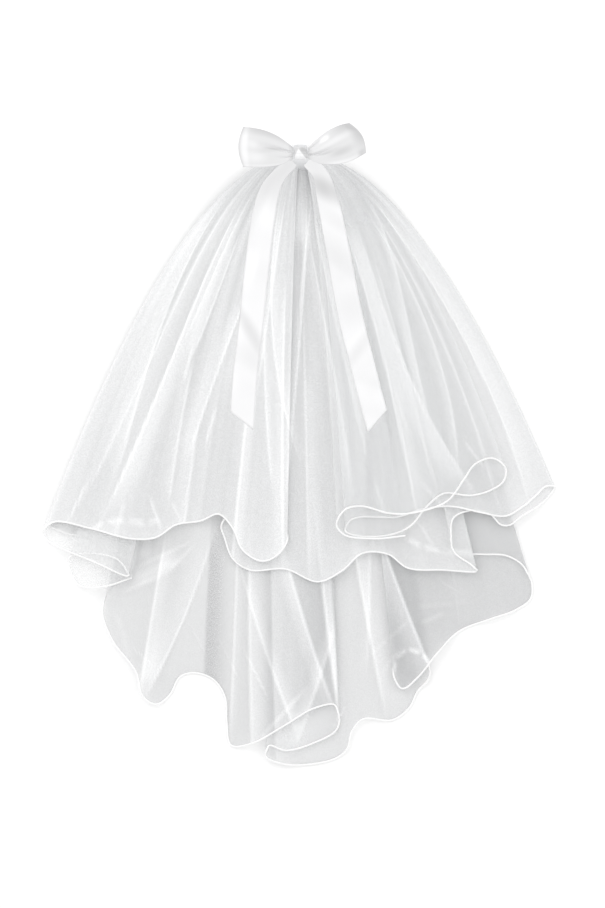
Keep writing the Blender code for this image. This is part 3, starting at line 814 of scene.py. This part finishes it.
def tulle_material():
    """Fine net: its alpha follows how much net each place shows, with the threads of its mesh."""
    made, nodes, links, shader = principled("tulle", TULLE_COLOR, 0.8)
    cover = nodes.new("ShaderNodeAttribute")
    cover.attribute_name = "cover"
    light = nodes.new("ShaderNodeAttribute")
    light.attribute_name = "light"
    uv = nodes.new("ShaderNodeUVMap")
    uv.uv_map = "cloth"
    net = nodes.new("ShaderNodeTexVoronoi")
    net.feature = "DISTANCE_TO_EDGE"
    net.inputs["Scale"].default_value = NET_SCALE
    net.inputs["Randomness"].default_value = NET_UNEVENNESS
    links.new(uv.outputs["UV"], net.inputs["Vector"])
    threads = nodes.new("ShaderNodeMapRange")
    for socket, value in NET_THREADS.items():
        threads.inputs[socket].default_value = value
    links.new(net.outputs["Distance"], threads.inputs["Value"])
    alpha = nodes.new("ShaderNodeMath")
    alpha.operation = "MULTIPLY"
    alpha.use_clamp = True
    links.new(cover.outputs["Fac"], alpha.inputs[0])
    links.new(threads.outputs["Result"], alpha.inputs[1])
    links.new(alpha.outputs[0], shader.inputs["Alpha"])
    # Painted shade and painted light: the net's colour goes from its shade colour to its light colour by the
    # light attribute
    color = nodes.new("ShaderNodeMix")
    color.data_type = "RGBA"
    color.inputs[6].default_value = (*TULLE_IN_SHADE, 1)
    color.inputs[7].default_value = (*TULLE_IN_LIGHT, 1)
    links.new(light.outputs["Fac"], color.inputs["Factor"])
    links.new(color.outputs[2], shader.inputs["Base Color"])
    shader.inputs["Specular IOR Level"].default_value = 0.1
    return made


def satin_material():
    """Satin ribbon: its colour scaled by painted bands of light and shade, with some sheen, and a fine weave
    across.
    """
    made, nodes, links, shader = principled("satin", SATIN_COLOR, 0.3)
    # Painted light and shade: a per-vertex attribute scales the satin's colour
    painted_shading = nodes.new("ShaderNodeAttribute")
    painted_shading.attribute_name = "painted_shading"
    shade = nodes.new("ShaderNodeVectorMath")
    shade.operation = "SCALE"
    shade.inputs[0].default_value = SATIN_COLOR
    links.new(painted_shading.outputs["Fac"], shade.inputs["Scale"])
    links.new(shade.outputs["Vector"], shader.inputs["Base Color"])
    uv = nodes.new("ShaderNodeUVMap")
    uv.uv_map = "cloth"
    weave = nodes.new("ShaderNodeTexWave")
    weave.bands_direction = "Y"
    weave.inputs["Scale"].default_value = WEAVE_SCALE
    weave.inputs["Distortion"].default_value = 1.5
    links.new(uv.outputs["UV"], weave.inputs["Vector"])
    bumps = nodes.new("ShaderNodeBump")
    bumps.inputs["Strength"].default_value = 0.12
    bumps.inputs["Distance"].default_value = WEAVE_DEPTH
    links.new(weave.outputs["Fac"], bumps.inputs["Height"])
    links.new(bumps.outputs["Normal"], shader.inputs["Normal"])
    shader.inputs["Sheen Weight"].default_value = 0.25
    shader.inputs["Sheen Roughness"].default_value = 0.4
    shader.inputs["Specular IOR Level"].default_value = 0.6
    return made


def twisted(name, color, roughness, scale, strength):
    """A matte finish with fine uneven ridges in it, as of threads drawn together."""
    made, nodes, links, shader = principled(name, color, roughness)
    shader.inputs["Sheen Weight"].default_value = 0.2
    places = nodes.new("ShaderNodeTexCoord")
    threads = nodes.new("ShaderNodeTexNoise")
    threads.inputs["Scale"].default_value = scale
    threads.inputs["Detail"].default_value = 3.0
    links.new(places.outputs["Object"], threads.inputs["Vector"])
    bumps = nodes.new("ShaderNodeBump")
    bumps.inputs["Strength"].default_value = strength
    bumps.inputs["Distance"].default_value = THREAD_DEPTH
    links.new(threads.outputs["Fac"], bumps.inputs["Height"])
    links.new(bumps.outputs["Normal"], shader.inputs["Normal"])
    return made


def streaks(tier, fan, down):
    """Fine uneven streaks of denser and thinner net that run out from the gathers."""
    found = np.zeros_like(fan)
    for kind, size in ((WIDE_STREAK, 1.0), (FINE_STREAK, FINE_STREAK_SHARE)):
        per_fan, per_down, per_tier, start = kind
        place = start + per_tier * tier
        drawn = [noise.noise((f * per_fan, d * per_down, place)) for f, d in zip(fan, down)]
        found += size * np.array(drawn)
    least, most = STREAK_LIMITS
    return STREAK_COVER * found * np.clip(most - down / STREAK_FADE_DOWN, least, most)


def make_tier(name, tier, finish):
    """One panel of tulle, with the net's cover and its painted light and shade at each place."""
    hem = HEMS[tier]
    shares = np.linspace(0, 1, ROWS[tier]) ** ROW_POWERS[tier]
    rows, places, covers, lights = [], [], [], []
    stretch_cover = np.array([shade.cover for shade in hem.shades])
    stretch_light = np.array([shade.light for shade in hem.shades])
    before, after, mixed = (np.array(side) for side in zip(*hem.mixes))
    for share in shares:
        row = tier_points(hem, hem.columns, share, hem.mixes)
        fan = row[:, 0] / spread(row[:, 1])
        soft, crisp = creased(tier, fan, row[:, 1])
        fine = streaks(tier, fan, row[:, 1])
        cover = stretch_cover[before] * (1 - mixed) + stretch_cover[after] * mixed
        light = stretch_light[before] * (1 - mixed) + stretch_light[after] * mixed
        cover = cover + cover / FOLD_COVER * (np.maximum(soft, 0) + crisp + fine)
        # Folds paint the net lighter, or darker as painted shade where their strength is below 0
        light = light + FOLD_PAINTED_LIGHT * (soft + crisp) + fine
        # Near the head the net is denser, with the painted light and shade of the gathers
        near_head = smooth(1 - (row[:, 1] - HEAD_DOWN) / GATHER_REACH)
        near_head = near_head * (1 - GATHER_EASE * smooth((row[:, 1] - GATHER_EASE_FROM) / GATHER_EASE_OVER))
        cover += near_head * (GATHER_COVER - cover)
        light += near_head * (GATHER_PAINTED_LIGHT[tier] + GATHER_STREAKS * fine - light)
        covers.append(np.clip(cover, *COVER_LIMITS))
        lights.append(np.clip(light, 0, 1))
        places.append(row[:, :2] + NET_SHIFT * np.column_stack((before, after)))
        rows.append(row)
    mesh = grid_mesh(name, rows)
    normals = np.empty(len(mesh.vertices) * 3, np.float32)
    mesh.vertices.foreach_get("normal", normals)
    lean = np.clip(np.abs(normals.reshape(-1, 3)[:, 2]), LEAST_LEAN, 1.0)
    covers = 1 - (1 - np.concatenate(covers)) ** (1 / lean)
    add_uv(mesh, np.concatenate(places))
    add_values(mesh, "cover", covers)
    add_values(mesh, "light", np.concatenate(lights))
    return new_object(name, mesh, finish)


def cord_points(hem):
    """The middle of the edging, beside the tulle's edge and level with it."""
    edge = tier_points(hem, hem.columns, 1.0, hem.mixes)
    along = edge - tier_points(hem, hem.columns, NEAR_EDGE, hem.mixes)
    along /= np.linalg.norm(along, axis=1)[:, None]
    tangent = np.gradient(edge, axis=0)
    tangent /= np.linalg.norm(tangent, axis=1)[:, None]
    outward = along - tangent * np.sum(along * tangent, axis=1)[:, None]
    outward /= np.linalg.norm(outward, axis=1)[:, None]
    middle = edge + outward * CORD_RADIUS * CORD_SEAT
    middle[:, 2] = np.maximum(middle[:, 2], CORD_RADIUS + CORD_CLEARANCE)
    return middle


def make_cord(name, tier, finish):
    """The edging: a thin tube sewn along the hem."""
    middle = cord_points(HEMS[tier])
    curve = bpy.data.curves.new(name, "CURVE")
    curve.dimensions = "3D"
    curve.bevel_depth = CORD_RADIUS * MM
    curve.bevel_resolution = 2
    curve.use_fill_caps = True
    line = curve.splines.new("POLY")
    line.points.add(len(middle) - 1)
    for point, place in zip(line.points, middle):
        point.co = (*placed(*place), 1)
    made = bpy.data.objects.new(name + "_path", curve)
    bpy.context.scene.collection.objects.link(made)
    graph = bpy.context.evaluated_depsgraph_get()
    mesh = bpy.data.meshes.new_from_object(made.evaluated_get(graph))
    mesh.name = name
    bpy.data.objects.remove(made)
    mesh.shade_smooth()
    mesh.materials.clear()
    return new_object(name, mesh, finish)


def make_head(finish):
    """The pleated bunch, lofted through its rings and flat underneath."""
    around = PLEATS * 6
    across_power, rise_power = HEAD_SQUARENESS
    mesh = bpy.data.meshes.new("head_bunch")
    head = bmesh.new()
    rings = []
    for down, half_width, top in curve_through(HEAD_RINGS, 4):
        corners = []
        for k in range(around):
            angle = 2 * math.pi * k / around
            pleat = 1 - PLEAT_DEPTH * (0.5 - 0.5 * math.cos(angle * PLEATS)) * smooth(top / PLEAT_FULL_TOP)
            across = half_width * math.copysign(abs(math.cos(angle)) ** across_power, math.cos(angle))
            rise = math.copysign(abs(math.sin(angle)) ** rise_power, math.sin(angle))
            height = top / 2 * (1 + rise * pleat if rise > 0 else 1 + rise)
            corners.append(head.verts.new(placed(across, down, height)))
        rings.append(corners)
    for ring, after in zip(rings, rings[1:]):
        for k in range(around):
            m = (k + 1) % around
            head.faces.new((ring[k], ring[m], after[m], after[k]))
    head.faces.new(rings[0][::-1])
    head.faces.new(rings[-1])
    bmesh.ops.recalc_face_normals(head, faces=head.faces)
    head.to_mesh(mesh)
    head.free()
    mesh.shade_smooth()
    return new_object("head_bunch", mesh, finish)


def between_rows(table, place):
    """The table's values at this place, counted in rows."""
    return [float(np.interp(place, range(len(table)), values)) for values in table.T]


def loop_rows(sections, creases, painted_bands, columns=88, count=40):
    """A ribbon that runs out along the top, turns at the end and comes back underneath, with its painted
    light and shade.
    """
    table = curve_through([tuple(section) for section in sections], 8)
    rows, shades = [], []
    for column in range(columns + 1):
        turn = math.pi * (column / columns - 0.5)
        out = math.cos(turn) ** LOOP_ROUNDING if abs(turn) < math.pi / 2 - 1e-6 else 0.0
        place = out * (len(table) - 1)
        section = between_rows(table, place)
        upper, lower = np.array(section[:2]), np.array(section[2:4])
        axis = np.array((lower[1] - upper[1], upper[0] - lower[0])) / np.linalg.norm(lower - upper)
        axis *= math.copysign(1, table[-1][0])
        row = []
        for k in range(count + 1):
            share = k / count
            shade = 1.0
            # Painted bands of light and shade, never darker than the darkest painted shade
            for painted_shading in painted_bands:
                middle = painted_shading.share + painted_shading.lean * (out - painted_shading.out)
                along = bump((out - painted_shading.out) / painted_shading.half_out)
                shade += painted_shading.strength * along * bump((share - middle) / painted_shading.half_share)
            # The underside is painted lighter towards the turn, as painted light
            inside = 1.0 + LOOP_INSIDE_PAINTED_LIGHT * bump((1 - out) / LOOP_INSIDE_REACH)
            shades.append(max(shade, DARKEST_PAINTED_SHADE) if turn < 0 else inside)
            edge = upper + (lower - upper) * share
            edge = edge + axis * LOOP_BULGE * out**6 * math.sin(math.pi * share)
            belly = 1 - LOOP_BELLY + LOOP_BELLY * math.sin(math.pi * share)
            rise = -math.sin(turn) * section[4] / 2 * belly
            for crease in creases:
                line = crease.at_knot + (crease.at_end - crease.at_knot) * out
                wide = crease.half_width * (LOOP_CREASE_NARROWEST + out)
                sink = crease.depth * bump((share - line) / wide) * smooth(1 - out / crease.reach)
                rise -= sink * -math.sin(turn)
            row.append((*edge, BOW_FLOOR + LOOP_MIDDLE + rise))
        rows.append(row)
    return rows, shades


def make_satin(name, rows, shades, finish):
    """A strip of ribbon with its weave and its painted light and shade, which casts no shadow and no bounced
    light.
    """
    mesh = grid_mesh(name, rows)
    steps = np.linalg.norm(np.diff(np.array([row[0] for row in rows]), axis=0), axis=1)
    lengths = np.concatenate([[0], np.cumsum(steps)])
    widths = [np.linalg.norm(np.array(row) - np.array(row[0]), axis=1) for row in rows]
    add_uv(mesh, [(wide, long) for across, long in zip(widths, lengths) for wide in across])
    add_values(mesh, "painted_shading", shades)
    made = new_object(name, mesh, finish)
    made.visible_shadow = False
    made.visible_diffuse = False
    thicken(made, RIBBON_WALL)
    return made


def make_loop(name, sections, creases, painted_bands, finish):
    return make_satin(name, *loop_rows(sections, creases, painted_bands), finish)


def make_knot(finish):
    """A short wrap of ribbon, twisted over the middle of the bow."""
    middle = (KNOT_LOW[2] + KNOT_HIGH[2]) / 2 / MM
    tall = (KNOT_HIGH[2] - KNOT_LOW[2]) / 2 / MM
    around, columns = 40, 16
    rows, shades = [], []
    for column in range(columns + 1):
        share = 2 * column / columns - 1
        row = []
        for k in range(around + 1):
            angle = 2 * math.pi * k / around
            waist = 1 - KNOT_WAIST * share**4
            across = KNOT_HALF_WIDTH * share + KNOT_TWIST * math.sin(angle)
            down = KNOT_HALF_LENGTH * waist * math.sin(angle)
            height = middle + tall * waist * math.cos(angle)
            fold = bump((share - KNOT_FOLD_SLANT * math.sin(angle)) / KNOT_FOLD_WIDTH)
            height += KNOT_FOLD * fold * max(math.cos(angle), 0)
            row.append((across + KNOT_OFF, down - KNOT_SHIFT, height))
            # Painted light on a facet and painted shade on the dome, over the knot's painted shade
            ridge = math.sin(angle) - FACET_SLOPE * abs(share - FACET_PLACE)
            painted_lit_facet = smooth((ridge + FACET_REACH) / FACET_SOFTNESS)
            painted_shaded_dome = smooth((share - DOME_FROM) / DOME_SOFTNESS) * smooth(-math.sin(angle) / DOME_SOFTNESS)
            shades.append(KNOT_PAINTED_SHADE + FACET_PAINTED_LIGHT * painted_lit_facet + DOME_PAINTED_SHADE * painted_shaded_dome)
        rows.append(row)
    return make_satin("knot_wrap", rows, shades, finish)


def make_tail(name, points, waves, painted_bands, long_side, finish):
    """A flat ribbon on top of the tulle, cut on the slant. long_side is 1 where its right edge is longer."""
    count, columns = 130, 14
    table = curve_through([tuple(point) for point in points], 8)
    line = np.array([between_rows(table, place) for place in np.linspace(0, len(table) - 1, count + 1)])
    along = np.gradient(line[:, :2], axis=0)
    along /= np.linalg.norm(along, axis=1)[:, None]
    rows, shades = [], []
    for i, (point, direction) in enumerate(zip(line, along)):
        near_end = max(0.0, 1 - (count - i) / (count * TAIL_SLANT_REACH))
        side = np.array((direction[1], -direction[0]))
        offset = np.linspace(-0.5, 0.5, columns + 1)[:, None]
        row = point[:2] + side * point[2] * offset + direction * long_side * offset * TAIL_SLANT * near_end
        fan = row[:, 0] / spread(row[:, 1])
        lift = TAIL_LIFT * smooth((point[1] - TAIL_LIFT_FROM) / TAIL_LIFT_OVER)
        height = layer_height(ON_TOP, fan, row[:, 1]) + lift
        for wave in waves:
            crest = wave.down + wave.slant * (row[:, 0] - point[0])
            height = height + wave.height * bump((row[:, 1] - crest) / wave.half_length)
        rows.append(np.column_stack((row, height)))
        # Painted light over the tail, with painted shade and reflection in bands
        shade = np.full(columns + 1, TAIL_PAINTED_LIGHT)
        for painted_shading in painted_bands:
            middle = painted_shading.down + painted_shading.slant * (row[:, 0] - point[0])
            beside = bump((2 * offset[:, 0] - painted_shading.side) / (1 + painted_shading.half_side))
            shade += painted_shading.strength * bump((row[:, 1] - middle) / painted_shading.half_length) * beside
        shades.append(shade)
    return make_satin(name, rows, np.concatenate(shades), finish)


def make_camera():
    camera = bpy.data.objects.new("Camera", bpy.data.cameras.new("Camera"))
    bpy.context.scene.collection.objects.link(camera)
    camera.location = (VIEW_CENTRE[0] * MM, VIEW_CENTRE[1] * MM, CAMERA_HEIGHT * MM)
    camera.data.sensor_fit = "VERTICAL"
    camera.data.angle = 2 * math.atan(VIEW_HEIGHT / 2 / CAMERA_HEIGHT)
    camera.data.clip_end = CAMERA_FAR
    bpy.context.scene.camera = camera


def make_light(name, place, size, energy):
    lamp = bpy.data.lights.new(name, "AREA")
    lamp.shape = "SQUARE"
    lamp.size = size
    lamp.energy = energy
    made = bpy.data.objects.new(name, lamp)
    made.location = place
    made.rotation_euler = (-Vector(place)).to_track_quat("-Z", "Y").to_euler()
    bpy.context.scene.collection.objects.link(made)


def make_stage():
    world = bpy.data.worlds.new("World")
    bpy.context.scene.world = world
    world.use_nodes = True
    sky = world.node_tree.nodes["Background"]
    sky.inputs["Color"].default_value = (1, 1, 1, 1)
    sky.inputs["Strength"].default_value = SKY_STRENGTH
    mesh = bpy.data.meshes.new("table")
    table = bmesh.new()
    bmesh.ops.create_grid(table, x_segments=1, y_segments=1, size=TABLE_HALF_SIZE)
    bmesh.ops.translate(table, vec=(0, 0, -TABLE_DROP), verts=table.verts)
    table.to_mesh(mesh)
    table.free()
    finish, _, _, shader = principled("table", TABLE_COLOR, 1.0)
    shader.inputs["Specular IOR Level"].default_value = 0.0
    floor = bpy.data.objects.new("table", mesh)
    mesh.materials.append(finish)
    bpy.context.scene.collection.objects.link(floor)
    make_light(*KEY_LAMP)
    make_light(*FILL_LAMP)
    scene = bpy.context.scene
    scene.view_settings.view_transform = "Standard"
    scene.view_settings.look = "None"
    scene.cycles.transparent_max_bounces = 48
    scene.cycles.max_bounces = 12


def main():
    make_camera()
    make_stage()
    tulle = tulle_material()
    satin = satin_material()
    cord = twisted("cord", CORD_COLOR, 0.35, scale=1400.0, strength=0.1)
    # The bunch's grey colour is painted shade
    bunch = twisted("bunch", BUNCH_PAINTED_SHADE_COLOR, 0.8, scale=500.0, strength=0.6)
    lower = make_tier("tulle_lower", LOWER, tulle)
    upper = make_tier("tulle_upper", UPPER, tulle)
    lower_cord = make_cord("cord_lower", LOWER, cord)
    upper_cord = make_cord("cord_upper", UPPER, cord)
    head = make_head(bunch)
    left = make_loop("loop_left", LEFT_LOOP, LEFT_LOOP_CREASES, LEFT_LOOP_PAINTED_BANDS, satin)
    right = make_loop("loop_right", RIGHT_LOOP, RIGHT_LOOP_CREASES, RIGHT_LOOP_PAINTED_BANDS, satin)
    knot = make_knot(satin)
    tail_left = make_tail("ribbon_left", LEFT_TAIL, LEFT_WAVES, LEFT_TAIL_PAINTED_BANDS, 1, satin)
    tail_right = make_tail("ribbon_right", RIGHT_TAIL, RIGHT_WAVES, RIGHT_TAIL_PAINTED_BANDS, -1, satin)
    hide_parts("lower_tier")
    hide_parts("upper_tier")
    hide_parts("hem_cord_lower")
    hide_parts("hem_cord_upper")
    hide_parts("gathered_head")
    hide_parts("bow_loop_left")
    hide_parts("bow_loop_right")
    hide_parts("bow_knot")
    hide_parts("tail_left")
    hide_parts("tail_right")


main()
